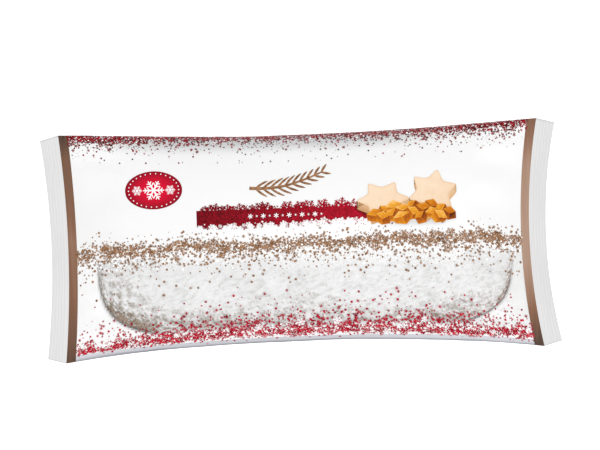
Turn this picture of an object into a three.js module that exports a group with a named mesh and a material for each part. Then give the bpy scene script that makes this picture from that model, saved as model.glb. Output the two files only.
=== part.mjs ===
// A stollen sealed in a pillow pack of film, lying flat on its base. Millimetres, +Z up.
// The origin is the middle of the base: +X runs along the loaf, +Y across it.
//
// The film is a tube. It lies flat in the two crimped end seals, and between them the loaf opens
// it into a pillow: wide and flat at the seals, narrower and deep over the loaf. Every point of
// the film has two places of its own: s, from -1 at the left seal line to 1 at the right one,
// and t, the way round the tube, 0 along the crown and +-1 along the middle of the base.

import * as THREE from 'three';

// ---- driving dimensions ----

const body = {
  halfLength: 159.3, // middle of the pack to a seal line, at the seal's corners
  flatHalfWidth: 76, // half the width of the flat tube, as it lies in a seal
  waist: 7.4, // how far each side draws in at the middle of the pack
  sideShift: 2, // the filled part lies this much towards +Y
  height: 42, // crown above the surface it lies on
  sideHeight: 15, // where the pillow is widest, in the middle of the pack
  baseHalfWidth: 40, // flat part of the base, to each side of the middle
  baseHalfLength: 108, // flat part of the base, to each end
  crownFall: 0.75, // how fully the crown holds its height along the pack
  baseRise: 1.8, // how softly the base lifts off towards a seal
};

const seal = {
  height: 14.5, // seal line above the surface
  width: 12.3, // along the film, from seal line to cut edge
  thickness: 0.9,
  droop: 4.5, // cut edge below the seal line
  runIn: 3.2, // each corner of the cut edge lies this much further in
  ribs: 6, // crimped ridges, side by side along the pack
  ribHeight: 0.35,
  wave: 0.8, // slow ripple of the cut edge, up and down
  waveLength: 62,
  pull: { left: 4.1, right: 7.4 }, // the middle of each seal line is drawn in by the filling
};

const pucker = {
  height: 0.8, // of a gather in the film, next to a seal
  count: 7, // gathers across the top, and as many across the base
  start: 0.7, // share of the way to a seal where they begin
  clearOfSide: 0.1, // share of the way round that stays smooth beside each side crease
};

const backSeam = {
  root: -6, // y of the fin's fold, under the base
  edge: 8, // y of its free edge, folded flat
  grooveDepth: 0.5,
  grooveHalfWidth: 1.2,
};

const mesh = {
  roundSteps: 60, // points round the film
  bodyRows: 44, // rows along the pack between the seals
};

const creaseAt = 0.5; // t of a side crease, where the tube lies folded flat in a seal
const nearly = 1e-6;

// ---- section of the pillow ----

// Half of the section at s, from the crown down the +Y side to the middle of the base.
function halfSection(halfWidth, crown, side, base, flat) {
  const outline = new THREE.Path();
  outline.moveTo(0, crown);
  outline.absellipse(0, side, halfWidth, crown - side, Math.PI / 2, 0, true);
  outline.absellipse(flat, side, halfWidth - flat, side - base, 0, -Math.PI / 2, true);
  outline.lineTo(0, base);
  return outline;
}

function bodySection(s) {
  const reach = s * s;
  const x = Math.abs(s) * body.halfLength;
  const halfWidth = body.flatHalfWidth - body.waist * (1 - reach);
  const crownAtSeal = seal.height + seal.thickness / 2;
  const baseAtSeal = seal.height - seal.thickness / 2;
  const crown = crownAtSeal + (body.height - crownAtSeal) * (1 - reach) ** body.crownFall;
  const ramp = Math.max(0, x - body.baseHalfLength) / (body.halfLength - body.baseHalfLength);
  const base = baseAtSeal * ramp ** body.baseRise;
  const side = THREE.MathUtils.lerp(body.sideHeight, seal.height, reach * reach);
  return halfSection(halfWidth, crown, side, base, body.baseHalfWidth);
}

// Gathers run into the seal: they grow from pucker.start, and the seal presses them flat again.
function puckerHeight(s, t, height) {
  const along = Math.max(0, (Math.abs(s) - pucker.start) / (1 - pucker.start));
  const across = Math.min(1, Math.abs(Math.abs(t) - creaseAt) / pucker.clearOfSide);
  const clearOfFloor = Math.min(1, height / seal.height);
  const wave = Math.sin(Math.PI * 2 * pucker.count * t + 2 * s);
  return pucker.height * Math.sin(Math.PI * along) * across * clearOfFloor * wave;
}

// The seal line bows in towards the middle of the pack.
function endPull(s, y) {
  const pull = s < 0 ? seal.pull.left : seal.pull.right;
  return pull * (1 - (y / body.flatHalfWidth) ** 2);
}

function bodyPoint(section, s, t, groove) {
  const way = Math.abs(t);
  const side = Math.sign(t) || 1;
  const point = section.getPointAt(way);
  const tangent = section.getTangentAt(way);
  const lift = puckerHeight(s, t, point.y);
  const y = side * (point.x - tangent.y * lift) + body.sideShift * (1 - s ** 4);
  const z = point.y + tangent.x * lift + groove * (1 - s ** 8);
  const x = s * body.halfLength - Math.sign(s) * endPull(s, y) * s * s;
  return new THREE.Vector3(x, y, z);
}

// ---- crimped end seal: a thin ribbed strip that droops from the seal line ----

function sealSection(share) {
  const halfWidth = body.flatHalfWidth - seal.runIn * share;
  const half = seal.thickness / 2;
  return halfSection(halfWidth, half, 0, -half, halfWidth - half);
}

function sealPoint(section, end, share, rib, t) {
  const point = section.getPointAt(Math.abs(t));
  const y = (Math.sign(t) || 1) * point.x;
  const run = Math.sqrt(seal.width ** 2 - seal.droop ** 2) * share;
  const ripple = seal.wave * share * Math.sin((2 * Math.PI * y) / seal.waveLength + end);
  const z = seal.height - seal.droop * share ** 1.3 + rib * seal.ribHeight + ripple + point.y;
  return new THREE.Vector3(end * (body.halfLength - endPull(end, y) + run), y, z);
}

// ---- the rows of points ----

// Places round the film, from under the base up the -Y side, over the crown and back. The folded
// back seam shows as a groove on each side of it, three points wide.
function placesRound() {
  const halfGirth = bodySection(0).getLength();
  const underY = (t) => (Math.sign(t) - t) * halfGirth;
  const placeUnder = (y) => Math.sign(y) - y / halfGirth;
  const grooves = [backSeam.root, backSeam.edge];
  const places = [];
  for (let step = 0; step < mesh.roundSteps; step++) {
    const t = (2 * step) / mesh.roundSteps - 1;
    const inGroove = (y) => Math.abs(underY(t) - y) < 2 * backSeam.grooveHalfWidth;
    if (!grooves.some(inGroove)) places.push({ t, groove: 0 });
  }
  for (const y of grooves) {
    const { grooveHalfWidth, grooveDepth } = backSeam;
    places.push({ t: placeUnder(y - grooveHalfWidth), groove: 0 });
    places.push({ t: placeUnder(y), groove: grooveDepth });
    places.push({ t: placeUnder(y + grooveHalfWidth), groove: 0 });
  }
  return places.sort((a, b) => a.t - b.t);
}

// Body rows stand closer together towards the seals, where the film turns down most.
function bodyRow(step, places) {
  const s = Math.sin((Math.PI / 2) * (-1 + (2 * step) / mesh.bodyRows));
  const section = bodySection(s);
  return places.map(({ t, groove }) => bodyPoint(section, s, t, groove));
}

// Two rows to a rib: a valley and a ridge. The first row is half of a valley, at the seal line.
function sealRows(end, places) {
  const steps = 2 * seal.ribs;
  const rows = [];
  for (let step = 0; step <= steps; step++) {
    const share = step / steps;
    const section = sealSection(share);
    const rib = step === 0 ? 0 : step % 2 === 0 ? -1 : 1;
    rows.push(places.map(({ t }) => sealPoint(section, end, share, rib, t)));
  }
  return end < 0 ? rows.reverse() : rows;
}

function packRows(places) {
  const rows = sealRows(-1, places);
  for (let step = 1; step < mesh.bodyRows; step++) rows.push(bodyRow(step, places));
  return rows.concat(sealRows(1, places));
}

// ---- the closed skin ----

// Joins row to row, and closes each cut edge by a strip between its upper and lower faces.
function packGeometry() {
  const places = placesRound();
  const rows = packRows(places);
  const round = places.length;
  const faces = [];
  for (let row = 0; row + 1 < rows.length; row++) {
    for (let place = 0; place < round; place++) {
      const next = (place + 1) % round;
      const here = [row * round + place, row * round + next];
      const beyond = [(row + 1) * round + place, (row + 1) * round + next];
      faces.push(here[0], beyond[0], beyond[1], here[0], beyond[1], here[1]);
    }
  }
  closeCutEdge(faces, places, 0, true);
  closeCutEdge(faces, places, (rows.length - 1) * round, false);
  const geometry = new THREE.BufferGeometry().setFromPoints(rows.flat());
  geometry.setIndex(faces);
  geometry.computeVertexNormals();
  return geometry;
}

// Runs from the -Y side crease to the +Y one, zigzag between the upper face and the lower one.
function closeCutEdge(faces, places, firstPoint, flip) {
  const chain = (isUpper, keep, share) => places
    .map(({ t }, place) => ({ index: firstPoint + place, isUpper, t, share: share(t) }))
    .filter(({ t }) => keep(t))
    .sort((a, b) => a.share - b.share);
  const upper = chain(true, (t) => Math.abs(t) < creaseAt + nearly, (t) => t + creaseAt);
  const lower = chain(false, (t) => Math.abs(t) > creaseAt + nearly, underShare);
  const across = [...upper.slice(1), ...lower].sort((a, b) => a.share - b.share);
  let above = upper[0];
  let below = upper[0];
  for (const next of across) {
    const corners = [above.index, below.index, next.index];
    if (above !== below) faces.push(...(flip ? corners.reverse() : corners));
    if (next.isUpper) above = next;
    else below = next;
  }
}

// Share of the way across under the base, from the -Y side crease to the +Y one.
function underShare(t) {
  return t < 0 ? -creaseAt - t : 2 - creaseAt - t;
}

// ---- the part ----

const film = new THREE.MeshStandardMaterial({
  name: 'printed_film',
  color: '#f4f3f1',
  roughness: 0.35,
  metalness: 0,
});

const sealedPack = new THREE.Mesh(packGeometry(), film);
sealedPack.name = 'sealed_pack';

const stollenPack = new THREE.Group();
stollenPack.add(sealedPack);

export default stollenPack;
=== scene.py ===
"""A stollen sealed in a pillow pack of printed film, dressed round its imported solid.

A place on the film is s, from -1 at the left seal line to 1 at the right one, and turn, the angle
round the pillow: 0 along the crown, a quarter turn at each side, a half turn where the flat base
starts and a whole turn in its middle. All print is laid on that surface. The tone of a piece is a
number that each of its points holds for its finish. Lengths are millimetres until a mesh is made.
"""

import math

import bpy
import numpy as np
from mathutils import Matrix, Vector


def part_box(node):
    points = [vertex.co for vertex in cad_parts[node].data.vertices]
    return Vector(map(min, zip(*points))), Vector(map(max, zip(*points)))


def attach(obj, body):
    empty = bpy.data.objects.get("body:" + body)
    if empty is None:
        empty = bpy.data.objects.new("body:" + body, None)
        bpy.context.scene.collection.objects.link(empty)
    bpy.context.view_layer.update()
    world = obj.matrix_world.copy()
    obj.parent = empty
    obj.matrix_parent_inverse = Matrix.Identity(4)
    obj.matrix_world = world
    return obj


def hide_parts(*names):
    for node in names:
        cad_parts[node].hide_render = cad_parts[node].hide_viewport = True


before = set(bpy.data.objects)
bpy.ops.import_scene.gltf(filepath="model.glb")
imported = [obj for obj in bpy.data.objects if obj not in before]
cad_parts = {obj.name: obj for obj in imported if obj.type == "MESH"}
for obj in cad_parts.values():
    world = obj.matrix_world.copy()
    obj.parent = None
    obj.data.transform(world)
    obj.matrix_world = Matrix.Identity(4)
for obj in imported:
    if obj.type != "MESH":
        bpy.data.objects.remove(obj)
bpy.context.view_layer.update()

MM = 0.001
QUARTER = math.pi / 2

# ---- the film, as the solid has it ----

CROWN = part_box("sealed_pack")[1].z / MM  # above the floor
HALF_LENGTH = 159.3  # middle of the pack to the corner of a seal line
FLAT_HALF_WIDTH = 76  # half the tube, flat in a seal
WAIST = 7.4  # each side draws in by this much at the middle
SIDE_SHIFT = 2  # the filled part lies this much towards +Y
SIDE_HEIGHT = 15  # where the pillow is widest, at its middle
BASE_HALF_WIDTH = 40
BASE_HALF_LENGTH = 108
CROWN_FALL = 0.75
BASE_RISE = 1.8
FILM_LIFT = 0.3  # the back seam lies folded under the film

SEAL_HEIGHT = 14.5
SEAL_WIDTH = 12.3
SEAL_DROOP = 4.5
SEAL_FALL = 1.3  # power of the droop
SEAL_RUN_IN = 3.2
SEAL_FLARE = 0.12  # wider by this share at its corners
SEAL_WAVE = 0.8
SEAL_WAVE_LENGTH = 62
SEAL_RIBS = 6
SEAL_RIB_HEIGHT = 0.09
SEAL_THICKNESS = 0.24
PULL_LEFT, PULL_RIGHT = 4.1, 7.4  # how far the middle of each seal line is drawn in

PUCKER_HEIGHT = 0.8
PUCKER_COUNT = 7
PUCKER_START = 0.7
PUCKER_CLEAR = 0.1
SLACK = ((0.22, 46, 3), (0.07, 17, 4))  # swells in the slack film
WAY_ROUND = 50  # length round the pillow for a radian of turn

SEAM_START, SEAM_END = -6, 8  # y of the folded back seam
SEAM_STOP = 0.985  # s where it runs into a seal
SEAM_DROP = 0.16
SEAM_RIBS = 4
SEAM_RIB_HEIGHT = 0.05

STRIPE_WIDTH = 6.3  # brown stripe beside each seal line
STRIPE_EDGE = 1 - STRIPE_WIDTH / HALF_LENGTH
WINDOW_TOP, WINDOW_FOOT = -0.13, -1.02  # turn of the clear film's edges
STRIP_FOOT, STRIP_TOP = -1.72, -1.245  # turn of the edges of the pale strip of painted fold shade

# ---- the loaf ----

LOAF_CENTRE = (3.3, 1.7)
LOAF_LEFT, LOAF_RIGHT = 139.2, 136.9  # from its middle to each end
LOAF_HALF_WIDTH = 64
LOAF_HEIGHT = 39.5
LOAF_WIDEST = 10  # height of its widest line
LOAF_TUCK = 0.07  # it draws in by this share from there to the floor
LOAF_SIDE, LOAF_END = 6, 20  # power of its rounding, and what its ends add
LOAF_CLEARANCE = 0.9  # it is held this far clear of the film
SQUARE_LEFT, SQUARE_RIGHT = 4.65, 4.6  # how square each end is in plan
PALE_CRUST_START, PALE_CRUST_END = 105, 125  # x where the crust turns lighter


def linear(colour):
    """An sRGB hex colour as the linear one that a shader takes."""
    channels = [int(colour[i : i + 2], 16) / 255 for i in (1, 3, 5)]
    return [*(c / 12.92 if c <= 0.04045 else ((c + 0.055) / 1.055) ** 2.4 for c in channels), 1.0]


def ripple(x, y, z, length, seed, waves=14):
    """Smooth uneven relief of about -1 to 1, of sine waves near one length."""
    rng = np.random.default_rng(seed)
    total = 0.0
    for _ in range(waves):
        heading = rng.normal(size=3)
        heading /= np.linalg.norm(heading)
        rate = math.tau / (length * rng.uniform(0.7, 1.4))
        phase = rng.uniform(0, math.tau)
        total = total + np.sin((heading[0] * x + heading[1] * y + heading[2] * z) * rate + phase)
    return total / math.sqrt(2 * waves)


def swells(x, y, z, *rows):
    """Ripples one on another, from rows of height, length and seed."""
    return sum(height * ripple(x, y, z, length, seed) for height, length, seed in rows)


def smooth(low, high, value):
    """0 below low, 1 above high and an even blend between."""
    share = np.clip((value - low) / (high - low), 0, 1)
    return share * share * (3 - 2 * share)


def graded(value, *rows):
    """The number at value, from rows of a place and its number."""
    return np.interp(value, *zip(*rows))


def closer_at_ends(count, share):
    """Places from -1 to 1, the closer towards both ends the larger share is."""
    even = np.linspace(-1, 1, count)
    return (1 - share) * even + share * np.sin(np.linspace(-QUARTER, QUARTER, count))


# ---- the film's surface ----


def film_section(s):
    """Half width, crown, side and base heights and sideways shift at s."""
    reach = np.minimum(s * s, 1)
    half_width = FLAT_HALF_WIDTH - WAIST * (1 - reach)
    crown_at_seal = SEAL_HEIGHT + SEAL_THICKNESS / 2
    base_at_seal = SEAL_HEIGHT - SEAL_THICKNESS / 2
    crown = crown_at_seal + (CROWN - crown_at_seal) * (1 - reach) ** CROWN_FALL
    ramp = (np.abs(s) * HALF_LENGTH - BASE_HALF_LENGTH) / (HALF_LENGTH - BASE_HALF_LENGTH)
    ramp = np.clip(ramp, 0, 1)
    base = FILM_LIFT + (base_at_seal - FILM_LIFT) * ramp**BASE_RISE
    side = SIDE_HEIGHT + (SEAL_HEIGHT - SIDE_HEIGHT) * reach**2
    return half_width, crown, side, base, SIDE_SHIFT * (1 - reach**2)


def seal_pull(side, y):
    """How far the seal line on the side of that sign is drawn in at y."""
    return np.where(side < 0, PULL_LEFT, PULL_RIGHT) * (1 - (y / FLAT_HALF_WIDTH) ** 2)


def film_x(s, y):
    """x of the film at s, drawn in more and more towards the seals."""
    return s * HALF_LENGTH - np.sign(s) * seal_pull(s, y) * s * s


def film_relief(s, turn, height):
    """Gathers that run into the seals, and the slow unevenness of slack film."""
    around = np.minimum(np.abs(turn), math.pi)
    along = np.clip((np.abs(s) - PUCKER_START) / (1 - PUCKER_START), 0, 1)
    beside = np.clip(np.abs(around - QUARTER) / (PUCKER_CLEAR * math.pi), 0, 1)
    gather = np.sin(2 * PUCKER_COUNT * turn + 2 * s) * np.sin(math.pi * along)
    slack = swells(s * HALF_LENGTH, turn * WAY_ROUND, 0, *SLACK)
    held_at_seals = 1 - np.abs(s) ** 8
    clear_of_floor = np.clip(height / SEAL_HEIGHT, 0, 1)
    return (PUCKER_HEIGHT * gather * beside + slack * held_at_seals) * clear_of_floor


def film_point(s, turn):
    """Points of the film."""
    s, turn = np.broadcast_arrays(s, turn)
    half_width, crown, side, base, shift = film_section(s)
    around = np.abs(turn)
    upper = around <= QUARTER
    under = np.minimum(around, math.pi)
    inwards = np.clip(around / math.pi - 1, 0, 1)
    flat = BASE_HALF_WIDTH * (1 - inwards)
    y_below = flat + (half_width - BASE_HALF_WIDTH) * np.sin(under)
    y_out = np.where(upper, half_width * np.sin(around), y_below)
    z = side + np.where(upper, crown - side, side - base) * np.cos(under)
    lift = film_relief(s, turn, z)
    y = np.sign(turn) * (y_out + lift * np.sin(under)) + shift
    return np.stack([film_x(s, y), y, z + lift * np.cos(under)], -1)


def film_steps(s, turn):
    """Steps of the film: per unit of s, per radian of turn, and straight out."""
    step = 1e-3
    along = (film_point(s + step, turn) - film_point(s - step, turn)) / (2 * step)
    round_it = (film_point(s, turn + step) - film_point(s, turn - step)) / (2 * step)
    out = np.cross(along, round_it)
    return along, round_it, out / np.linalg.norm(out, axis=-1, keepdims=True)


def top_place(x, y):
    """s and turn of the film's upper face straight above x and y."""
    s = x / HALF_LENGTH
    for _ in range(4):  # it settles in four rounds
        s = (x + np.sign(x) * seal_pull(x, y) * s * s) / HALF_LENGTH
    half_width, _, _, _, shift = film_section(s)
    return s, np.arcsin(np.clip((y - shift) / half_width, -1, 1))


def film_below(x, y):
    """Height of the film's lower face straight below x and y."""
    half_width, _, side, base, shift = film_section(top_place(x, y)[0])
    past = (np.abs(y - shift) - BASE_HALF_WIDTH) / (half_width - BASE_HALF_WIDTH)
    return side - (side - base) * np.sqrt(1 - np.clip(past, 0, 1) ** 2)


def on_film(x, y, lift):
    """Points just over the film's upper face at x and y."""
    s, turn = top_place(x, y)
    return film_point(s, turn) + film_steps(s, turn)[2] * lift


# ---- making pieces ----


def grid_faces(rows, columns, closed=False):
    """Quads between a grid's points; closed joins each row in a ring."""
    row = np.arange(rows - 1)[:, None] * columns
    column = np.arange(columns if closed else columns - 1)
    beside = (column + 1) % columns
    corners = [row + column, row + columns + column, row + columns + beside, row + beside]
    return np.stack(corners, -1).reshape(-1, 4)


def put(name, data):
    """A new object in the scene."""
    obj = bpy.data.objects.new(name, data)
    bpy.context.scene.collection.objects.link(obj)
    return obj


def make_piece(name, points, faces, finish, slot, tone=None):
    """A mesh piece of the pack, with the tone of its points where they have one."""
    used, places = np.unique(faces, return_inverse=True)
    faces = places.reshape(faces.shape)
    mesh = bpy.data.meshes.new(name)
    mesh.from_pydata((points.reshape(-1, 3)[used] * MM).tolist(), [], faces.tolist())
    mesh.shade_smooth()
    if tone is not None:
        values = mesh.attributes.new("tone", "FLOAT", "POINT")
        tone = np.broadcast_to(tone, points.shape[:-1]).astype(float)
        values.data.foreach_set("value", tone.ravel()[used])
    mesh.materials.append(finish)
    mesh.update()
    obj = put(name, mesh)
    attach(obj, "root")
    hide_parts("sealed_pack")


def join(parts):
    """Points and faces of several meshes as one."""
    points, faces, count = [], [], 0
    for part_points, part_faces in parts:
        points.append(part_points.reshape(-1, 3))
        faces.append(part_faces + count)
        count += len(points[-1])
    return np.concatenate(points), np.concatenate(faces)


# ---- finishes ----

FILM_IOR = 1.49  # polypropylene
INK = {"Roughness": 0.4, "IOR": 1.5, "Specular IOR Level": 0.1}  # duller than the film


def add(tree, kind, inputs=None, out=0, **settings):
    """Adds a node with its settings, sets or links its inputs and gives one output."""
    node = tree.nodes.new("ShaderNode" + kind)
    for name, value in settings.items():
        setattr(node, name, value)
    for name, value in (inputs or {}).items():
        if isinstance(value, bpy.types.NodeSocket):
            tree.links.new(value, node.inputs[name])
        else:
            node.inputs[name].default_value = value
    return node.outputs[out] if node.outputs else None


def start_finish(name):
    """A new material, its nodes and an output with the place of each point."""
    finish = bpy.data.materials.new(name)
    finish.use_nodes = True
    tree = finish.node_tree
    tree.nodes.clear()
    return finish, tree, add(tree, "TexCoord", out="Object")


def end_finish(finish, sockets):
    """Closes a material with a Principled shader that has these sockets."""
    shader = add(finish.node_tree, "BsdfPrincipled", sockets)
    add(finish.node_tree, "OutputMaterial", {"Surface": shader})
    return finish


def blend_colours(tree, factor, *colours):
    """Runs evenly through hex colours as factor goes from 0 to 1."""
    blend = add(tree, "ValToRGB", {"Fac": factor})
    stops = blend.node.color_ramp.elements
    stops[0].color = linear(colours[0])
    stops[1].color = linear(colours[-1])
    for k, colour in enumerate(colours[1:-1], 1):
        stops.new(k / (len(colours) - 1)).color = linear(colour)
    return blend


def grained_tone(tree, vector, size, detail, depth):
    """The tone of each point plus a grain of that size, up to that depth."""
    tone = add(tree, "Attribute", out="Fac", attribute_name="tone")
    grain = add(tree, "TexNoise", {"Vector": vector, "Scale": 1 / (size * MM), "Detail": detail})
    return add(tree, "Math", {0: grain, 1: depth, 2: tone}, operation="MULTIPLY_ADD")


def film_creases(tree, place, strength):
    """Bump of a thin blown film: faint soft creases about a centimetre apart."""
    noise = {"Vector": place, "Scale": 1 / (11 * MM), "Detail": 4, "Roughness": 0.45}
    crease = add(tree, "TexNoise", noise)
    return add(tree, "Bump", {"Height": crease, "Strength": strength, "Distance": 0.4 * MM})


def white_printed_film():
    """Polypropylene film, blown and printed opaque white: an even white under a satin gloss.

    Its tone lays a pale grey over the white: painted shade near the upper edge and its corners, and the
    printed shadow under the fruit."""
    finish, tree, place = start_finish("white printed polypropylene film")
    tone = add(tree, "Attribute", out="Fac", attribute_name="tone")
    cloud = add(tree, "TexNoise", {"Vector": place, "Scale": 1 / (40 * MM), "Detail": 3})
    white = blend_colours(tree, cloud, "#f5f5f5", "#f9f9f9")
    # the grey that the tone lays on is painted shade, and under the fruit a printed shadow
    halftone = {"Factor": tone, 6: white, 7: linear("#b4b4b6")}
    colour = add(tree, "Mix", halftone, out=2, data_type="RGBA")
    creases = film_creases(tree, place, 0.25)
    sockets = {"Base Color": colour, "Roughness": 0.36, "IOR": FILM_IOR, "Normal": creases}
    face = add(tree, "BsdfPrincipled", sockets)
    glow = add(tree, "BsdfTranslucent", {"Color": colour})
    thin = add(tree, "MixShader", {"Fac": 0.16, 1: face, 2: glow})
    add(tree, "OutputMaterial", {"Surface": thin})
    return finish


def clear_film():
    """The same film with a sheen; its tone runs from clear to milky white."""
    finish, tree, place = start_finish("clear polypropylene film")
    tone = add(tree, "Attribute", out="Fac", attribute_name="tone")
    sockets = {"Base Color": linear("#f7f7f7"), "Roughness": 0.14, "IOR": FILM_IOR, "Alpha": tone}
    return end_finish(finish, {**sockets, "Normal": film_creases(tree, place, 0.35)})


def crimped_film():
    """Two layers of unprinted film, welded between ribbed jaws: greyer, and matt from the ribs.

    Its tone is lower on the right seal: painted shade, greyer there to even out the stronger key light on
    that side."""
    finish, tree, place = start_finish("heat sealed polypropylene film")
    stretched = add(tree, "Mapping", {"Vector": place, "Scale": (1, 0.08, 1)})
    streaked = grained_tone(tree, stretched, 1.6, 2, 0.5)
    colour = blend_colours(tree, streaked, "#c9c8c8", "#dddcdc")
    creases = film_creases(tree, place, 0.2)
    sockets = {"Base Color": colour, "Roughness": 0.45, "IOR": FILM_IOR, "Normal": creases}
    return end_finish(finish, sockets)


def brown_stripe_ink():
    """Gravure ink in a warm brown, in fine streaks; its tone carries painted shade, the ink deeper where
    it is low.
    """
    finish, tree, place = start_finish("brown gravure ink stripe")
    stretched = add(tree, "Mapping", {"Vector": place, "Scale": (1, 0.03, 1)})
    streaked = grained_tone(tree, stretched, 2, 2, 0.3)
    centred = add(tree, "Math", {0: streaked, 1: 0.15}, operation="SUBTRACT")
    colour = blend_colours(tree, centred, "#4c3a30", "#84604c", "#b09481")
    creases = film_creases(tree, place, 0.3)
    return end_finish(finish, {**INK, "Base Color": colour, "Normal": creases})


def gravure_ink(name, dark, light):
    """Gravure ink in small spots, under the film's gloss: its colour changes from spot to spot."""
    finish, tree, place = start_finish(name)
    patch = add(tree, "TexNoise", {"Vector": place, "Scale": 1 / (2.2 * MM), "Detail": 2})
    spread = add(tree, "MapRange", {"Value": patch, "From Min": 0.32, "From Max": 0.68})
    return end_finish(finish, {**INK, "Base Color": blend_colours(tree, spread, dark, light)})


def shaded_ink(name, *colours, grain=2.5, depth=0.12):
    """Grainy halftone gravure print that runs through its colours with the piece's tone."""
    finish, tree, place = start_finish(name)
    grained = grained_tone(tree, place, grain, 3, depth)
    centred = add(tree, "Math", {0: grained, 1: depth / 2}, operation="SUBTRACT")
    colour = blend_colours(tree, centred, *colours)
    return end_finish(finish, {**INK, "Specular IOR Level": 0.05, "Base Color": colour})


def sugared_crust():
    """Yeast crust baked brown, buttered and dusted with icing sugar: matt, caked and uneven.

    Its tone is how well sugar covers each place, from 0 for bare crust to 1."""
    finish, tree, place = start_finish("icing sugar on baked crust")
    cover = add(tree, "Attribute", out="Fac", attribute_name="tone")
    smear = {"Vector": place, "Rotation": (0, 0, 0.3), "Scale": (2.2, 1, 1)}
    brushed = add(tree, "Mapping", smear, vector_type="TEXTURE")
    noises = []
    for size, detail, rough in ((2.2, 5, 0.68), (15, 3, 0.5), (3, 6, 0.75), (1.6, 5, 0.75), (1.1, 3, 0.7)):
        sockets = {"Vector": place, "Scale": 1 / (size * MM), "Detail": detail, "Roughness": rough}
        noises.append(add(tree, "TexNoise", sockets))
    cake, drift, baked, powder, grain = noises
    tree.links.new(brushed, cake.node.inputs["Vector"])
    depth = add(tree, "Math", {0: drift, 1: 0.4, 2: cake}, operation="MULTIPLY_ADD")
    caked = add(tree, "MapRange", {"Value": depth, "From Min": 0.2, "From Max": 1.2})
    sugar = blend_colours(tree, caked, "#999995", "#dbdbdb", "#f4f4f5")
    dusty = blend_colours(tree, baked, "#241b10", "#6b5a43", "#b8a283")
    # a paler crust where it is bare and towards the right end
    pale_crust = blend_colours(tree, baked, "#332215", "#80604a", "#bb9878")
    bare = add(tree, "MapRange", {"Value": cover, "From Min": 0.25, "From Max": -0.4})
    along = add(tree, "SeparateXYZ", {"Vector": place})
    right_end = {"From Min": PALE_CRUST_START * MM, "From Max": PALE_CRUST_END * MM, "To Max": 0.9}
    paler_right = add(tree, "MapRange", {"Value": along, **right_end})
    lighter = add(tree, "Math", {0: bare, 1: paler_right}, operation="MAXIMUM")
    crust = add(tree, "Mix", {"Factor": lighter, 6: dusty, 7: pale_crust}, out=2, data_type="RGBA")
    patchy = add(tree, "Math", {0: powder, 1: cover}, operation="ADD")
    covered = add(tree, "MapRange", {"Value": patchy, "From Min": 0.75, "From Max": 1.25})
    fleck = add(tree, "MapRange", {"Value": grain, "From Min": 0.54, "From Max": 0.68, "To Max": 0.75})
    white = add(tree, "Math", {0: covered, 1: fleck}, operation="MAXIMUM")
    colour = add(tree, "Mix", {"Factor": white, 6: crust, 7: sugar}, out=2, data_type="RGBA")
    dull = add(tree, "MapRange", {"Value": white, "To Min": 0.55, "To Max": 0.95})
    bump = add(tree, "Bump", {"Height": powder, "Strength": 0.6, "Distance": 0.4 * MM})
    sockets = {"Base Color": colour, "Roughness": dull, "IOR": 1.5, "Normal": bump}
    return end_finish(finish, sockets)


def loose_sugar():
    """Icing sugar caked into crumbs: white and matt."""
    finish, tree, place = start_finish("icing sugar crumbs")
    cake = add(tree, "TexNoise", {"Vector": place, "Scale": 1 / (3 * MM), "Detail": 4})
    colour = blend_colours(tree, cake, "#e2e2dd", "#f8f8f6")
    return end_finish(finish, {"Base Color": colour, "Roughness": 0.95, "IOR": 1.5})


# ---- the wrapper ----

FILM_ROWS = 181
SHADOW_CENTRE, SHADOW_REACH = (78, 10), (20, 2.4)  # printed under the fruit
POCKET_LIGHT_LEFT, POCKET_LIGHT_RIGHT = 0.78, 0.6  # painted light: how milky the film is beside each end of the loaf, whitening the shade there
CLEAR_HAZE = 0.05  # how milky the film is over the loaf
FOOT_FADE = 0.55  # and along the window's foot


def film_grid():
    """Rows of s and columns of turn, on which each printed part ends."""
    rows = closer_at_ends(FILM_ROWS, 1)
    rows = rows[np.abs(np.abs(rows) - STRIPE_EDGE) > 0.003]
    rows = np.sort(np.concatenate([rows, [-STRIPE_EDGE, STRIPE_EDGE]]))
    edges = [-math.tau, -math.pi, STRIP_FOOT, STRIP_TOP, WINDOW_FOOT, WINDOW_TOP]
    edges += [QUARTER, math.pi, math.tau]
    spans = zip(edges, edges[1:], (15, 15, 20, 6, 32, 62, 17, 15))
    columns = [np.linspace(*span, endpoint=False) for span in spans]
    return rows[:, None], np.concatenate(columns + [edges[-1:]])


def stripe_painted_shade(points):
    """Painted shade on the stripes: deeper towards the pack's sides, where the film turns away, most of
    all at the right foot, and deeper on the left stripe, away from the key light.
    """
    x, y = points[..., 0], points[..., 1]
    left = ((-74, 0.12), (-60, 0.25), (-30, 0.46), (5, 0.56), (35, 0.38), (60, 0.34), (74, 0.05))
    right = ((-74, 0), (-60, 0.32), (-45, 0.58), (-20, 0.87), (5, 0.9), (45, 0.78), (74, 0.4))
    return np.where(x < 0, graded(y, *left), graded(y, *right))


def painted_shade(points, s, turn):
    """Painted shade: a soft grey where the film turns away, under the upper band of snow and in its
    corners; and the printed shadow under the fruit.
    """
    along = 1 - smooth(0.4, 0.85, np.abs(s + 0.12))
    middle = 0.62 * along * smooth(0.92, 1.2, turn)
    corner = 0.35 * smooth(0.75, 0.95, np.abs(s)) * smooth(1.38, 1.44, turn)
    haze = np.maximum(middle, corner) * (1 - smooth(1.6, 2.0, turn))
    x, y, z = np.moveaxis(points, -1, 0)
    along = ((x - SHADOW_CENTRE[0]) / SHADOW_REACH[0]) ** 4
    across = ((y - SHADOW_CENTRE[1]) / SHADOW_REACH[1]) ** 2
    return haze + 0.5 * np.exp(-along - across) * (z > SEAL_HEIGHT)


def loaf_end(u):
    """Half length of the loaf on the side of u's sign, and how square it is there."""
    left = u < 0
    return np.where(left, LOAF_LEFT, LOAF_RIGHT), np.where(left, SQUARE_LEFT, SQUARE_RIGHT)


def square_reach(u, w, corners):
    """How far out u and w lie in a square with rounded corners, whose rim is at 1."""
    return (np.abs(u) ** corners + np.abs(w) ** corners) ** (1 / corners)


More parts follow.
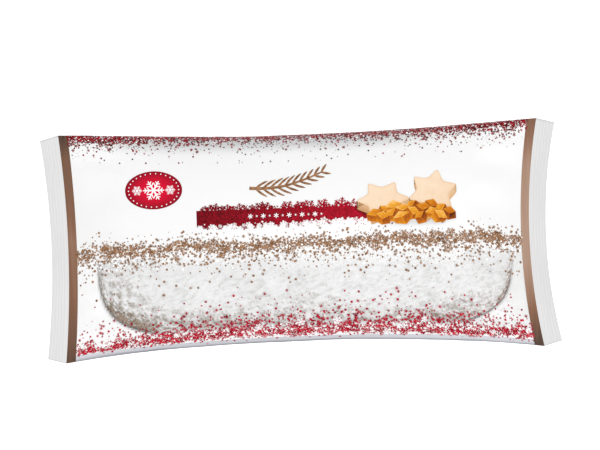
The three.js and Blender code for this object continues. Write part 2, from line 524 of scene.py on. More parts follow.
def window_haze(points, turn):
    """How milky the window is: beside the loaf it is white, painted light over the shade between the
    loaf and the seals; and a fine white halftone fades the print out along its edges, along the
    upper edge partly painted light over the shade that the print above casts on the loaf."""
    u, w = points[..., 0] - LOAF_CENTRE[0], points[..., 1] - LOAF_CENTRE[1]
    half_length, corners = loaf_end(u)
    reach = square_reach(u / half_length, w / LOAF_HALF_WIDTH, corners)
    outside = np.hypot(u, w) * (1 - 1 / np.maximum(reach, 0.1))
    # painted light: a milky white laid over the shaded space beside each end of the loaf
    left = POCKET_LIGHT_LEFT * smooth(-0.9, 1.0, outside)
    pocket_light = np.where(u < 0, left, POCKET_LIGHT_RIGHT * smooth(-2.0, 1.2, outside))
    top_fade = ((-130, 0.35), (-110, 0.45), (-80, 0.68), (-20, 0.62), (40, 0.52), (90, 0.5), (125, 0.62))
    fade = graded(points[..., 0], *top_fade) * smooth(-0.42, WINDOW_TOP, turn)
    fade = fade + FOOT_FADE * smooth(0.92, -WINDOW_FOOT, -turn)
    return CLEAR_HAZE + np.maximum(pocket_light, fade)


def fold_shade_tone(s, turn):
    """Painted shade: the pale strip along the foot darkens to a grey line at the fold of the side."""
    down = ((1.24, 0.66), (1.32, 0.7), (1.36, 0.5), (1.4, 0.24))
    under = ((1.44, 0.08), (1.5, 0.04), (1.58, 0.4), (1.72, 1))
    tone = graded(np.abs(turn), *down, *under)
    return tone + 0.15 * smooth(0.15, 0.6, s) + 0.2 * smooth(0.6, 0.9, -s)


def wrapper(white, clear, brown, foot):
    """The film tube between the seals: white print, a clear window and a stripe at each end."""
    s, turn = film_grid()
    points = film_point(s, turn)
    faces = grid_faces(len(s), len(turn)).reshape(len(s) - 1, -1, 4)
    s_mid, turn_mid = (s[:-1] + s[1:]) / 2, (turn[:-1] + turn[1:]) / 2
    stripe = np.abs(s_mid) + 0 * turn_mid > STRIPE_EDGE
    window = (turn_mid > WINDOW_FOOT) & (turn_mid < WINDOW_TOP) & ~stripe
    # the pale strip along the foot is painted shade of the fold
    strip = (turn_mid > STRIP_FOOT) & (turn_mid < STRIP_TOP) & ~stripe
    rest = ~(stripe | window | strip)
    for name, part, finish, slot, tone in (
        ("end_stripes", stripe, brown, "brown_ink", stripe_painted_shade(points)),
        ("window_film", window, clear, "window_film", window_haze(points, turn)),
        ("painted_fold_shade", strip, foot, "printed_film", fold_shade_tone(s, turn)),
        ("printed_film", rest, white, "printed_film", painted_shade(points, s, turn)),
    ):
        make_piece(name, points, faces[part], finish, slot, tone)


def seal_strip(name, end, tone, finish):
    """A crimped end: two layers of film pressed into ribs, drooping from the seal."""
    share = np.linspace(0, 1, 8 * SEAL_RIBS + 1)[:, None]
    across = np.linspace(-1, 1, 97)
    y = across * (FLAT_HALF_WIDTH - SEAL_RUN_IN * share)
    run = math.sqrt(SEAL_WIDTH**2 - SEAL_DROOP**2) * share * (1 + SEAL_FLARE * across**2)
    x = end * (HALF_LENGTH - seal_pull(end, y) + run)
    rib = SEAL_RIB_HEIGHT * np.sin(math.tau * SEAL_RIBS * share) * np.clip(8 * share, 0, 1)
    wave = SEAL_WAVE * share * np.sin(math.tau * y / SEAL_WAVE_LENGTH + end)
    z = SEAL_HEIGHT - SEAL_DROOP * share**SEAL_FALL + rib + wave
    upper = np.stack([x, y, z + SEAL_THICKNESS / 2], -1)
    lower = np.stack([x, y, z - SEAL_THICKNESS / 2], -1)
    ring = np.concatenate([upper, lower[:, ::-1]], axis=1)
    rows, columns = ring.shape[:2]
    i = np.arange(columns // 2 - 1)
    tip = (rows - 1) * columns + np.stack([i, i + 1, columns - 2 - i, columns - 1 - i], -1)
    faces = np.concatenate([grid_faces(rows, columns, closed=True), tip])
    if end < 0:
        faces = faces[:, ::-1]
    make_piece(name, ring, faces, finish, "printed_film", tone)


def back_seam(finish):
    """The fin of the back seam, ribbed and folded flat under the base."""
    rows, columns = 160, 29
    s = np.linspace(-SEAM_STOP, SEAM_STOP, rows)[:, None]
    y = np.linspace(SEAM_START, SEAM_END, columns)
    _, _, _, base, shift = film_section(s)
    rib = np.cos(math.tau * (y - SEAM_START) / (SEAM_END - SEAM_START) * SEAM_RIBS)
    z = base - SEAM_DROP + SEAM_RIB_HEIGHT * rib
    points = np.stack(np.broadcast_arrays(film_x(s, y + shift), y + shift, z), -1)
    faces = grid_faces(rows, columns)[:, ::-1]
    make_piece("back_seam", points, faces, finish, "printed_film", 0.4)


# ---- the loaf ----

WORN_CORNER, WORN_REACH = (-121, -52), (21, 14.5)  # where the sugar has come off
WORN_ENDS = ((0.6, (-134, -22), (7, 22)), (1.2, (132, -30), (15, 27)))  # wear, place and reach


def loaf_top():
    """Points over the loaf, closer at the rim, and how far in from there each lies."""
    u, w = np.broadcast_arrays(closer_at_ends(361, 0.45)[:, None], closer_at_ends(171, 0.4))
    half_length, corners = loaf_end(u)
    ring = np.maximum(np.abs(u), np.abs(w))  # 1 at the rim
    rounding = ring / np.maximum(square_reach(u, w, corners), 1e-9)
    x, y = half_length * u * rounding, LOAF_HALF_WIDTH * w * rounding
    to_end = u**2 / np.maximum(u**2 + w**2, 1e-9)
    fall = (1 - ring ** (LOAF_SIDE + LOAF_END * to_end)) ** 0.5
    z = LOAF_WIDEST + (LOAF_HEIGHT - LOAF_WIDEST) * fall
    inset = np.hypot(x, y) * (1 / np.maximum(ring, 1e-9) - 1)
    return np.stack([LOAF_CENTRE[0] + x, LOAF_CENTRE[1] + y, z], -1), inset


def crust_relief(points, inset):
    """Height of crust and sugar over the smooth loaf: lumps, wrinkles, caked powder."""
    x, y, z = np.moveaxis(points, -1, 0)
    bend = 3 * ripple(x, y, z, 24, 16)
    lumps = swells(x, y, z, (0.8, 46, 11), (0.3, 14, 12))
    wrinkles = 0.2 * (1 - 2 * np.abs(ripple(x + bend, 1.6 * y - bend, z, 7.0, 15)))
    caked = swells(x, y, z, (0.13, 3.6, 13), (0.12, 2.0, 14))
    return lumps + (wrinkles + caked) * (1 + np.exp(-inset / 8))


def near_rim(inset, width, power=2):
    """1 at the loaf's rim, fading out over about that width."""
    return np.exp(-((inset / width) ** power))


def sugar_cover(points, inset):
    """How well sugar covers the crust: thinner down the sides, worn at one corner and the ends.

    The thinning towards the rim is partly painted shade where the loaf curves down, and the dark
    line at the left end's rim is painted shade.
    """
    x, y, z = np.moveaxis(points, -1, 0)
    patch = swells(x, y, z, (1, 5, 21), (0.8, 2.4, 22))
    along, across = (x - WORN_CORNER[0]) / WORN_REACH[0], (y - WORN_CORNER[1]) / WORN_REACH[1]
    worn = 1.75 * np.exp(-((along**2 + across**2) ** 2)) * near_rim(inset, 9)
    for wear, centre, reach in WORN_ENDS:
        along, across = (x - centre[0]) / reach[0], (y - centre[1]) / reach[1]
        worn = worn + wear * np.exp(-(along**2) - across**2) * near_rim(inset, 3.6)
    # how far the cover falls towards the rim along x: partly thinner sugar, partly painted shade
    left = ((-138, 0.3), (-122, 0.4), (-95, 0.5), (-60, 0.54), (-15, 0.39))
    depth = graded(x, *left, (50, 0.39), (90, 0.49), (112, 0.48), (130, 0.32))
    depth = depth * (1 - 0.45 * smooth(95, 115, x) * smooth(-46, -30, y))
    thin = depth * near_rim(inset, 36, 3) * (1 + 0.3 * patch)
    # a dark line along the left end's rim: painted shade of the edge
    line = 0.3 * smooth(95, 120, -x) * near_rim(inset, 0.9)
    return 1.04 - thin - 0.62 * worn * (0.85 + 0.32 * patch) - line - 0.05 * patch


def rim_ring(grid):
    """The edge of a grid, as one closed ring."""
    return np.concatenate([grid[:-1, 0], grid[-1, :-1], grid[:0:-1, -1], grid[0, :0:-1]])


def loaf(finish):
    """The stollen: a low, blunt-ended loaf of yeast dough, held just clear of the film."""
    points, inset = loaf_top()
    normal = np.cross(np.gradient(points, axis=0), np.gradient(points, axis=1))
    normal /= np.linalg.norm(normal, axis=-1, keepdims=True)
    cover = sugar_cover(points, inset)
    rim, rim_cover = rim_ring(points), rim_ring(cover)
    points = points + normal * crust_relief(points, inset)[..., None]
    x, y = points[..., 0], points[..., 1]
    ceiling = film_point(*top_place(x, y))[..., 2] - LOAF_CLEARANCE
    points[..., 2] = np.clip(points[..., 2], film_below(x, y) + LOAF_CLEARANCE, ceiling)
    middle = np.array([*LOAF_CENTRE, 0])
    tucks = np.linspace(0, QUARTER, 8)[1:]
    steps = [(1 - LOAF_TUCK * (1 - math.cos(tuck)), LOAF_WIDEST * (1 - math.sin(tuck))) for tuck in tucks]
    steps += [(share, 0) for share in (0.88, 0.8, 0.7, 0.45, 0.2, 0.01)]
    rings = [rim_ring(points)]
    for share, height in steps:
        x, y, _ = (middle + (rim - middle) * share).T
        z = np.maximum(height, film_below(x, y) + LOAF_CLEARANCE)
        rings.append(np.stack([x, y, z], -1))
    rings = np.array(rings)
    tone = np.concatenate([cover.ravel(), np.tile(rim_cover - 0.1, len(rings))])
    top_faces = grid_faces(*points.shape[:2])
    under_faces = grid_faces(len(rings), rings.shape[1], closed=True)
    both = join([(points, top_faces), (rings, under_faces)])
    make_piece("stollen_loaf", *both, finish, "icing_sugar", tone)
    return points, normal, cover


def sugar_crumbs(surface, finish):
    """Crumbs of caked icing sugar on the loaf: uneven eight-sided lumps."""
    points, normal, cover = surface
    rng = np.random.default_rng(31)
    count = 3200
    row = rng.integers(2, points.shape[0] - 2, count)
    column = rng.integers(2, points.shape[1] - 2, count)
    covered = cover[row, column] > 0.75
    row, column = row[covered], column[covered]
    count = len(row)
    size = rng.uniform(0.22, 0.5, count) * (1 + 0.8 * (rng.uniform(size=count) > 0.93))
    corners = np.concatenate([np.eye(3), -np.eye(3)])[[0, 1, 3, 4, 2, 5]]
    sides = [(k, (k + 1) % 4, 4) for k in range(4)] + [((k + 1) % 4, k, 5) for k in range(4)]
    lumps = corners * rng.uniform(0.6, 1.3, (count, 6, 1)) * size[:, None, None]
    lumps = lumps + (points[row, column] + normal[row, column] * 0.1)[:, None]
    faces = (np.array(sides) + 6 * np.arange(count)[:, None, None]).reshape(-1, 3)
    make_piece("sugar_crumbs", lumps, faces, finish, "icing_sugar")


# ---- the printed snow ----


def bar(start, end, width):
    """A straight arm from start to end, slimmer at its tip."""
    start, end = np.array(start, float), np.array(end, float)
    side = np.array([start[1] - end[1], end[0] - start[0]])
    side = side / np.linalg.norm(side) * width / 2
    return [start - side, end - 0.6 * side, end + 0.6 * side, start + side]


def six_fold(arm):
    """The quads of one arm, turned six ways."""
    quads = []
    for angle in math.pi / 3 * np.arange(6):
        spin = np.array([[math.cos(angle), math.sin(angle)], [-math.sin(angle), math.cos(angle)]])
        quads += [np.array(quad) @ spin for quad in arm]
    return np.concatenate(quads), np.arange(4 * len(quads)).reshape(-1, 4)


def snowflake(heft=1.0):
    """A flake with two pairs of side twigs on each arm; heft thickens them."""
    arm = [bar((0, 0), (1, 0), 0.17 * heft)]
    for at, reach in ((0.4, 0.36), (0.68, 0.24)):
        tips = [(at + reach * 0.7, side * reach) for side in (-1, 1)]
        arm += [bar((at, 0), tip, 0.12 * heft) for tip in tips]
    return six_fold(arm)


STARLET = six_fold([bar((0, 0), (1, 0), 0.4)])  # a small flake of six plain arms
EIGHTHS = np.arange(8) * math.pi / 4
DOT_QUADS = np.array([[0, 1, 2, 3], [0, 3, 4, 7], [4, 5, 6, 7]])
DOT = (np.stack([np.cos(EIGHTHS), np.sin(EIGHTHS)], -1), DOT_QUADS)


def lay(shape, s, turn, size, rng, lift):
    """Copies of a flat shape on the film, each turned its own way."""
    (u, v), quads = shape[0].T, shape[1]
    s, turn, size = s[:, None], turn[:, None], size[:, None]
    angle = rng.uniform(0, math.tau, s.shape)
    cos, sin = np.cos(angle), np.sin(angle)
    along, round_it, out = film_steps(s, turn)
    s_here = s + (u * cos - v * sin) * size / np.linalg.norm(along, axis=-1)
    turn_here = turn + (u * sin + v * cos) * size / np.linalg.norm(round_it, axis=-1)
    height = lift + rng.uniform(0, 0.03, s.shape)  # no two in one plane
    points = film_point(np.clip(s_here, -1, 1), turn_here) + out * height[..., None]
    faces = quads + len(u) * np.arange(len(s))[:, None, None]
    return points, faces.reshape(-1, 4)


def specks(rng, low, high, spacing, chance, kinds, reach=0.5, lift=0.06):
    """Small shapes strewn between two turns, on a loose lattice.

    chance(x, turn) is how likely a place of it is taken. kinds are rows of a shape, its share,
    smallest and largest size. They run reach past the stripes' edges, or stop short of them."""
    step = spacing / np.linalg.norm(film_steps(0.0, (low + high) / 2)[1])
    length = STRIPE_EDGE * HALF_LENGTH + reach
    x, turn = np.meshgrid(np.arange(-length, length, spacing), np.arange(low, high, step))
    x[1::2] += spacing / 2
    x = (x + rng.uniform(-0.45, 0.45, x.shape) * spacing).ravel()
    turn = (turn + rng.uniform(-0.45, 0.45, turn.shape) * step).ravel()
    taken = (rng.uniform(0, 1, x.size) < chance(x, turn)) & (np.abs(x) < length)
    x, turn = x[taken], turn[taken]
    kind = rng.choice(len(kinds), x.size, p=[row[1] for row in kinds])
    parts = []
    for k, (shape, _, small, large) in enumerate(kinds):
        size = small + (large - small) * rng.uniform(0, 1, x.size) ** 1.6  # mostly small
        own = kind == k
        parts.append(lay(shape, x[own] / HALF_LENGTH, turn[own], size[own], rng, lift))
    return join(parts)


def band_chance(rows, sway, seed, shift=None, stretch=None):
    """The chance of specks in a band that wanders up and down, from rows of a turn and its chance.

    shift moves the band, and stretch narrows what lies above its densest turn."""
    densest = max(rows, key=lambda row: row[1])[0]

    def chance(x, turn):
        s = x / HALF_LENGTH
        away = turn - densest + sway * ripple(x, 0, 0, 38, seed) - (shift(s) if shift else 0)
        if stretch:
            away = np.where(away > 0, away * stretch(s), away)
        level = graded(densest + away, *rows)
        return level * (1 + 0.25 * ripple(x, 60 * turn, 0, 14, seed + 1))

    return chance


FINE = [(STARLET, 0.5, 0.75, 1.3), (DOT, 0.5, 0.36, 0.75)]  # for the dense bands
LOOSE = [(DOT, 0.82, 0.25, 0.9), (STARLET, 0.18, 0.6, 1.4)]  # for what strays off them
MIST = [(DOT, 0.88, 0.2, 0.7), (STARLET, 0.12, 0.5, 1.1)]  # for the far edge
DOTS = [(DOT, 1.0, 0.2, 0.62)]
FLAKES = [(snowflake(), 1.0, 1.8, 3.6)]

BROWN_BAND = (
    (-0.2, 0.06), (-0.15, 0.17), (-0.1, 0.44), (-0.065, 1), (-0.035, 1),
    (0.0, 0.24), (0.05, 0.04), (0.09, 0),
)
BROWN_LOOSE = ((-0.55, 0), (-0.4, 0.1), (-0.3, 0.3), (-0.2, 0.6), (-0.1, 0.6), (0.05, 0.3), (0.15, 0.08))
WHITE_LOOSE = ((-0.28, 0), (-0.22, 0.1), (-0.17, 0.35), (-0.13, 0.5), (-0.1, 0))
RED_BAND = (
    (-1.29, 0), (-1.24, 0.12), (-1.2, 0.48), (-1.165, 0.8), (-1.1, 0.82),
    (-1.04, 0.45), (-0.95, 0.31), (-0.88, 0.17), (-0.78, 0.05),
)
RED_LOOSE = ((-1.3, 0.1), (-1.1, 0.5), (-0.9, 0.6), (-0.78, 0.45), (-0.66, 0.24), (-0.48, 0.03))
WINE_BAND = (
    (0.98, 0.03), (1.1, 0.2), (1.2, 0.62), (1.28, 0.95), (1.34, 1),
    (1.42, 0.95), (1.48, 0.6), (1.58, 0.4), (1.75, 0),
)
WINE_LOOSE = ((0.85, 0.05), (1.0, 0.22), (1.12, 0.55), (1.25, 0.8), (1.4, 0.5))


def strew(name, rng, finish, slot, *bands):
    """One piece out of bands of specks, each given as specks takes it."""
    make_piece(name, *join([specks(rng, *band) for band in bands]), finish, slot)


def brown_snow(ink, white):
    """The brown band along the window's upper edge, where the white print runs out in snow."""
    rng = np.random.default_rng(61)

    def raised(s):
        return 0.012 * smooth(0.7, 0.95, -s)

    dense = band_chance(BROWN_BAND, 0.03, 62, shift=raised)
    loose = band_chance(BROWN_LOOSE, 0.03, 62, shift=raised)
    band = (-0.22, 0.1, 1.02, dense, FINE)
    round_it = (-0.55, 0.13, 2.5, loose, LOOSE, -1.5)
    flakes = (-0.11, 0.02, 6.0, dense, FLAKES, -2)
    strew("brown_snow", rng, ink, "brown_ink", band, round_it, flakes)
    under = (-0.28, -0.1, 1.3, band_chance(WHITE_LOOSE, 0, 62), LOOSE, -1, 0.01)
    gaps = (-0.13, 0.02, 5.0, dense, FINE, 0.5, 0.11)
    strew("white_snow", rng, white, "printed_film", under, gaps)


def red_snow(ink, white):
    """The red band along the foot of the window."""
    rng = np.random.default_rng(71)

    def narrow(s):
        at_ends = 0.8 * smooth(0.65, 0.95, -s) + 0.2 * smooth(0.65, 0.95, s)
        return 1 + at_ends + 0.35 * smooth(0.2, 0.6, -s)

    def tilted(s):
        dip = 0.035 * np.exp(-(((s + 0.6) / 0.2) ** 2)) + 0.03 * smooth(0.7, 0.95, np.abs(s))
        return 0.03 - 0.02 * s - 0.02 * s * s - dip

    dense = band_chance(RED_BAND, 0.014, 72, shift=tilted, stretch=narrow)
    loose = band_chance(RED_LOOSE, 0.014, 72, stretch=narrow)
    band = (-1.3, -0.78, 1.06, dense, FINE)
    round_it = (-1.3, -0.48, 2.5, loose, LOOSE, -1.5)
    flakes = (-1.16, -1.0, 6.0, dense, FLAKES, -2)
    strew("red_snow", rng, ink, "red_ink", band, round_it, flakes)
    fine = (-1.07, -0.92, 3.4, dense, FINE, 0.5, 0.11)
    large = (-1.08, -1.0, 17, dense, FLAKES, -3, 0.11)
    strew("red_band_gaps", rng, white, "printed_film", fine, large)


def wine_snow(ink, dark, white):
    """The dark red band along the far edge, which goes on round the side."""
    rng = np.random.default_rng(81)

    def higher(s):
        return 0.025 + 0.1 * (1 - smooth(0.15, 0.75, np.abs(s + 0.1)))

    dense = band_chance(WINE_BAND, 0.02, 82, shift=higher)
    loose = band_chance(WINE_LOOSE, 0.02, 82, shift=higher)
    band = (1.02, 1.75, 0.98, dense, FINE)
    round_it = (0.85, 1.35, 1.9, loose, MIST, -1.5)
    strew("wine_snow", rng, ink, "red_ink", band, round_it)
    in_band = (1.1, 1.7, 3.0, dense, DOTS, 0.5, 0.1)
    round_it = (0.85, 1.3, 1.9, loose, DOTS, -1.5, 0.1)
    strew("dark_snow", rng, dark, "brown_ink", in_band, round_it)
    gaps = (1.2, 1.6, 3.4, dense, DOTS, 0.5, 0.14)
    strew("wine_band_gaps", rng, white, "printed_film", gaps)


# ---- banner, badge, twig and fruit ----

BANNER_LEFT, BANNER_RIGHT = -68.6, 50.5
BANNER_FOOT, BANNER_TOP = 11.4, 22.3
BANNER_SLANT = 13.5  # its right end runs in by this, foot to top
BANNER_STEEP = BANNER_SLANT / (BANNER_TOP - BANNER_FOOT)
ABOVE_BANNER = (  # shape, count, smallest and largest size, spread
    (snowflake(1.3), 12, 3.6, 6.0, 0.2),
    (snowflake(1.6), 16, 1.6, 3.0, 0.4),
    (STARLET, 40, 0.5, 1.3, 0.6),
    (DOT, 34, 0.25, 0.75, 2.2),
)
BELOW_BANNER = (
    (snowflake(1.4), 26, 1.1, 2.1, 0.3),
    (STARLET, 50, 0.4, 0.9, 0.4),
    (DOT, 40, 0.2, 0.45, 0.9),
)
ON_BANNER = (  # shape, count, smallest and largest size, y
    (snowflake(1.2), 24, 1.8, 3.8, BANNER_FOOT - 0.5),
    (snowflake(0.9), 20, 1.6, 3.0, BANNER_FOOT + 0.3),
    (STARLET, 26, 0.4, 0.9, BANNER_FOOT + 0.4),
    (STARLET, 24, 0.4, 0.9, BANNER_TOP + 0.4),
    (DOT, 9, 0.4, 0.9, BANNER_FOOT + 2.0),
)


def evenly(rng, count):
    """Places from 0 to 1, one at random in each equal part."""
    return (np.arange(count) + rng.uniform(0, 1, count)) / count


def banner(ink, white):
    """A red ribbon: red flakes stand up from its edges and white ones cut into it."""
    rng = np.random.default_rng(51)
    rows, columns = 116, 12
    share = np.linspace(0, 1, rows)[:, None]
    y = np.linspace(BANNER_FOOT, BANNER_TOP, columns)
    right = BANNER_RIGHT - BANNER_SLANT * (y - BANNER_FOOT) / (BANNER_TOP - BANNER_FOOT)
    x = BANNER_LEFT + share * (right - BANNER_LEFT)
    parts = [(on_film(x, y + 0 * x, 0.07), grid_faces(rows, columns))]
    for edge, way, end, kinds in (
        (BANNER_TOP, 1, BANNER_RIGHT - BANNER_SLANT, ABOVE_BANNER),
        (BANNER_FOOT, -1, BANNER_RIGHT - 2, BELOW_BANNER),
    ):
        for shape, count, small, large, spread in kinds:
            along = BANNER_LEFT + 1 + (end - BANNER_LEFT - 1) * evenly(rng, count)
            out = edge + way * np.abs(rng.normal(0, spread, count))
            size = rng.uniform(small, large, count)
            parts.append(lay(shape, *top_place(along, out), size, rng, 0.08))
    points, faces = join(parts)
    x, y = points[:, 0], points[:, 1]
    tone = 0.3 + 0.48 * (x - BANNER_LEFT) / (BANNER_RIGHT - BANNER_LEFT)
    past_end = x + BANNER_STEEP * (y - BANNER_FOOT) - BANNER_RIGHT
    tone = tone - 0.7 * smooth(-6, 1, past_end) * smooth(0, 2, BANNER_TOP - y)
    make_piece("banner", points, faces, ink, "red_ink", tone)
    parts = []
    for shape, count, small, large, edge in ON_BANNER:
        place = evenly(rng, count)
        along = BANNER_LEFT + 1 + (BANNER_RIGHT - 5 - BANNER_LEFT) * place
        across = edge + rng.normal(0, 0.35, count)
        size = rng.uniform(small, large, count) * (0.55 + 0.7 * place)
        inside = across < BANNER_TOP - (along - BANNER_RIGHT + BANNER_SLANT)
        at = top_place(along[inside], across[inside])
        parts.append(lay(shape, *at, size[inside], rng, 0.12))
    along = np.linspace(-33, 14, 12)
    across = np.full(12, (BANNER_FOOT + BANNER_TOP) / 2 + 0.6)
    size = np.where(np.arange(12) % 2, 0.8, 1.7)
    parts.append(lay(STARLET, *top_place(along, across), size, rng, 0.12))
    make_piece("banner_snow", *join(parts), white, "printed_film")


BADGE_CENTRE = (-96.5, 37)
BADGE_SIZE = (19, 12.6)
BADGE_DOTS = 30


def upright(shape, x, y, size):
    """One flat shape on the badge."""
    outline, quads = shape
    return on_film(x + outline[:, 0] * size, y + outline[:, 1] * size, 0.14), quads


def badge(red, white):
    """An oval red badge with white snowflakes inside a ring of dots."""
    (x, y), (length, height) = BADGE_CENTRE, BADGE_SIZE
    angle = np.linspace(0, math.tau, 72, endpoint=False)
    share = np.linspace(0.02, 1, 14)[:, None]
    points = on_film(x + share * length * np.cos(angle), y + share * height * np.sin(angle), 0.08)
    make_piece("badge", points, grid_faces(14, 72, closed=True), red, "red_ink", 1 - share**2)
    flakes = ((0, 7), (-11, 3.4), (11, 3.4))
    parts = [upright(snowflake(), x + along, y, size) for along, size in flakes]
    for angle in math.tau * np.arange(BADGE_DOTS) / BADGE_DOTS:
        at = (x + 0.88 * length * math.cos(angle), y + 0.88 * height * math.sin(angle))
        parts.append(upright(DOT, *at, 0.42))
    make_piece("badge_snowflakes", *join(parts), white, "printed_film")


TWIG_START, TWIG_LENGTH, TWIG_RISE, TWIG_SAG = (-33, 36), 48, 9.0, 2.5
NEEDLE_LENGTH, NEEDLE_ANGLE, NEEDLE_CURL = 11, math.radians(44), 0.35


def stroke(points, widths, lift):
    """A brush stroke along points on the film, as wide as widths at each."""
    heading = np.gradient(points, axis=0)
    heading /= np.linalg.norm(heading, axis=1, keepdims=True)
    side = np.stack([-heading[:, 1], heading[:, 0]], -1) * widths[:, None] / 2
    edges = np.stack([points - side, points + side], 1)
    return on_film(edges[..., 0], edges[..., 1], lift), grid_faces(len(points), 2)


def twig(finish):
    """A brushed fir twig: a bowed stem with needles to both sides."""
    share = np.linspace(0, 1, 60)
    stem_x = TWIG_START[0] + TWIG_LENGTH * share
    stem_y = TWIG_START[1] + TWIG_RISE * share**1.4 - TWIG_SAG * np.sin(math.pi * share)
    stem = np.stack([stem_x, stem_y], -1)
    parts = [stroke(stem, 2.2 - 1.2 * share, 0.08)]
    bend = np.linspace(0, 1, 12)
    width = 1.9 * (1 - bend**3) * (0.45 + 0.55 * bend) + 0.3
    for k in range(5, 60, 6):
        ahead = stem[min(k + 1, 59)] - stem[k - 1]
        heading = math.atan2(ahead[1], ahead[0])
        length = NEEDLE_LENGTH * (1 - 0.6 * abs(share[k] - 0.3))
        for side in (-1, 1):
            curve = heading + side * (NEEDLE_ANGLE - NEEDLE_CURL * bend)
            step = np.stack([np.cos(curve), np.sin(curve)], -1) * length / 11
            line = stem[k] + np.cumsum(step, axis=0) - step[0]
            parts.append(stroke(line, width, 0.09))
    make_piece("twig", *join(parts), finish, "brown_ink")


PEEL = (  # x, y and turn of each dice, row by row from the back
    (62, 19.6, 12), (87, 20.2, -20), (74.5, 20.4, 32),
    (54.5, 17.6, -28), (68, 17.4, 8), (81, 17.8, -10), (93.5, 17.4, 24),
    (49, 14.6, 14), (60.5, 15.0, 38), (74, 15.2, -24), (87, 15.2, 16), (98.5, 14.6, -12),
    (54.5, 12.4, -8), (67, 12.5, 20), (80, 12.6, 42), (91.5, 12.6, -30),
)


def turned(u, v, centre, angle):
    """u and v turned by an angle in degrees and moved to a centre."""
    cos, sin = math.cos(math.radians(angle)), math.sin(math.radians(angle))
    return centre[0] + u * cos - v * sin, centre[1] + u * sin + v * cos


def star_biscuit(centre, size, angle, squash, lift):
    """A six-pointed biscuit under pale icing, tipped away, with its baked edge in sight."""
    spokes = np.linspace(0, math.tau, 96, endpoint=False)
    rings = np.linspace(0.02, 1, 16)[:, None]
    reach = size / 2 / (1 + 0.5 * np.abs(np.sin(3 * spokes)) ** 1.3)
    u, v = turned(rings * reach * np.cos(spokes), rings * reach * np.sin(spokes), (0, 0), angle)
    x, y = centre[0] + u, centre[1] + v * squash
    grain = swells(x, y, 0, (0.03, 1.6, 44), (0.03, 6, 45))
    tone = 0.86 - 0.0045 * (x - centre[0]) + 0.006 * (y - centre[1]) - 0.3 * rings**14 + grain
    top = (on_film(x, y, lift), grid_faces(*x.shape, closed=True), tone)
    depth = np.linspace(1, 0, 6)[:, None]
    x, y = x[-1:] + 0 * depth, y[-1:] - 0.15 * size * depth
    tone = 0.42 - 0.22 * depth + 0.1 * np.sin(spokes + 2) + 0.04 * ripple(x, y, 0, 1.5, 46)
    side = (on_film(x, y, lift - 0.02), grid_faces(*x.shape, closed=True), tone)
    return [side, top]


def diced_peel(rng, centre, size, angle, lift):
    """A dice of candied peel: a glassy cube seen over its front edge, lightest on top."""
    half, deep, tall = size * 0.5, size * 0.26, size * 0.46
    upper = [(0, 2 * deep), (half, deep), (0, 0), (-half, deep)]
    lower = [(half, deep - tall), (0, -tall), (-half, deep - tall)]
    corners = np.array(upper + lower) + rng.normal(0, 0.05 * size, (7, 2))
    down, across = np.mgrid[0:7, 0:7] / 6
    rim = np.min([down, 1 - down, across, 1 - across], axis=0)
    parts = []
    candied = rng.uniform(-0.2, 0.14)
    for face, light in (([3, 0, 2, 1], 0.6), ([3, 2, 6, 5], 0.36), ([2, 1, 5, 4], 0.2)):
        a, b, c, d = corners[face]
        place = (1 - down)[..., None] * (a + (b - a) * across[..., None])
        place = place + down[..., None] * (c + (d - c) * across[..., None])
        glow = 0.22 * down**2 if face[0] != 3 or face[1] == 2 else 0.12 * (1 - down)
        tone = light + candied + glow + 0.1 * (rim < 0.1) + rng.normal(0, 0.06, rim.shape)
        x, y = turned(place[..., 0], place[..., 1], centre, angle)
        parts.append((on_film(x, y, lift), grid_faces(*x.shape), tone))
    return parts


def fruit(cream, amber):
    """Two iced star biscuits behind a heap of diced peel."""
    stars = star_biscuit((88, 29.5), 33, 17, 0.9, 0.18) + star_biscuit((55, 25.5), 35, 2, 0.72, 0.24)
    rng = np.random.default_rng(41)
    dice = []
    for k, (x, y, angle) in enumerate(PEEL):
        dice += diced_peel(rng, (x, y), rng.uniform(8, 10.5), angle, 0.32 + 0.02 * k)
    for name, parts, finish in (("star_biscuits", stars, cream), ("candied_peel", dice, amber)):
        tone = np.concatenate([np.ravel(tone) for _, _, tone in parts])
        make_piece(name, *join([part[:2] for part in parts]), finish, "brown_ink", tone)


# ---- the studio ----

PICTURE_WIDTH = 600
PIXELS_PER_MM = 1.502
PACK_TURN = math.radians(2.1)  # of the pack, under the camera
PICTURE_CENTRE = (-0.46, 10.55)  # x and y under the camera
CAMERA_HEIGHT = 3000


def floor():
    """A pale floor six metres wide, lit a little from below like a light table."""
    finish = bpy.data.materials.new("pale studio floor")
    finish.use_nodes = True
    shader = finish.node_tree.nodes["Principled BSDF"].inputs
    shader["Base Color"].default_value = linear("#f4f4f4")
    shader["Roughness"].default_value = 0.9
    shader["Emission Color"].default_value = linear("#ffffff")
    shader["Emission Strength"].default_value = 0.5
    mesh = bpy.data.meshes.new("floor")
    corners = [(-3, -3, 0), (3, -3, 0), (3, 3, 0), (-3, 3, 0)]
    mesh.from_pydata(corners, [], [(0, 1, 2, 3)])
    mesh.materials.append(finish)
    put("floor", mesh)


def soft_box(name, place, size, power):
    """A square studio light that faces the pack, in metres and watts."""
    light = bpy.data.lights.new(name, "AREA")
    light.shape = "SQUARE"
    light.size = size
    light.energy = power
    obj = put(name, light)
    obj.location = place
    obj.rotation_euler = (-obj.location).to_track_quat("-Z", "Y").to_euler()


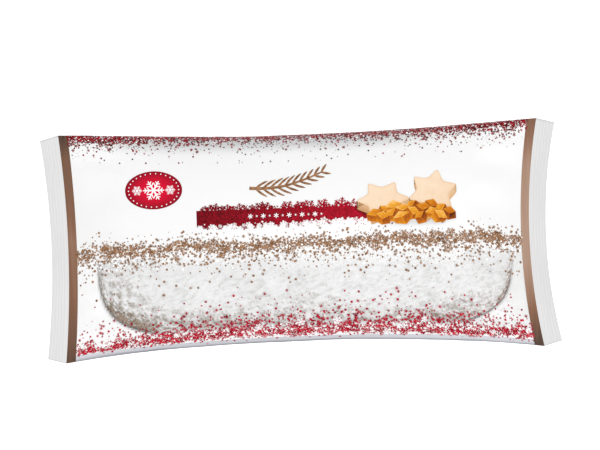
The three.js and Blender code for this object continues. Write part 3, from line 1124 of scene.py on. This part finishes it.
def studio():
    """Soft light from high on the right, in an even sky."""
    world = bpy.data.worlds.new("soft sky")
    world.use_nodes = True
    sky = world.node_tree.nodes["Background"].inputs
    sky["Color"].default_value = linear("#ffffff")
    sky["Strength"].default_value = 0.66
    bpy.context.scene.world = world
    soft_box("key", (0.5, -0.3, 1.9), 1.0, 17.0)
    soft_box("fill", (-0.6, 0.2, 1.8), 1.4, 6.9)
    bpy.context.scene.view_settings.view_transform = "Standard"


def camera():
    """Looks straight down on the shown side."""
    lens = bpy.data.cameras.new("camera")
    lens.lens_unit = "FOV"
    lens.angle = 2 * math.atan(PICTURE_WIDTH / PIXELS_PER_MM / 2 / CAMERA_HEIGHT)
    obj = put("camera", lens)
    obj.location = [place * MM for place in (*PICTURE_CENTRE, CAMERA_HEIGHT + SEAL_HEIGHT)]
    obj.rotation_euler = (0, 0, -PACK_TURN)
    bpy.context.scene.camera = obj


# ---- the scene ----

camera()
studio()
floor()
brown = gravure_ink("brown gravure ink", "#694528", "#a87e5c")
red = gravure_ink("red gravure ink", "#7a0b1d", "#c61c36")
wine = gravure_ink("wine red gravure ink", "#470809", "#a01420")
dark = gravure_ink("dark brown gravure ink", "#1e1a17", "#5c4e46")
snow = gravure_ink("white gravure ink", "#f5f5f5", "#fafafa")
# painted shade: the pale grey strip along the foot, darkening at the fold
foot = shaded_ink("pale lavender painted fold shade", "#6c6d74", "#b2b3b9", "#cfcfd5", depth=0.05)
wrapper(white_printed_film(), clear_film(), brown_stripe_ink(), foot)
crimped = crimped_film()
# the right seal's lower tone is painted shade against the key light on that side
seal_strip("seal_left", -1, 0.45, crimped)
seal_strip("seal_right", 1, 0.1, crimped)
back_seam(crimped)
surface = loaf(sugared_crust())
sugar_crumbs(surface, loose_sugar())
brown_snow(brown, snow)
red_snow(red, snow)
wine_snow(wine, dark, snow)
shades = ("#48030b", "#6e0814", "#980b20", "#b8102c")
banner(shaded_ink("wine to red gravure ink", *shades, grain=1.2, depth=1.5), snow)
badge(shaded_ink("red gravure ink badge", "#820a1c", "#b01029", "#d80c33"), snow)
twig(brown)
cream = shaded_ink("cream halftone print", "#a5784c", "#d3aa80", "#e2c3a3", "#ecd6bc")
shades = ("#441808", "#8f450e", "#bf6c14", "#dc9528", "#f2c474")
fruit(cream, shaded_ink("amber halftone print", *shades, depth=0.2))
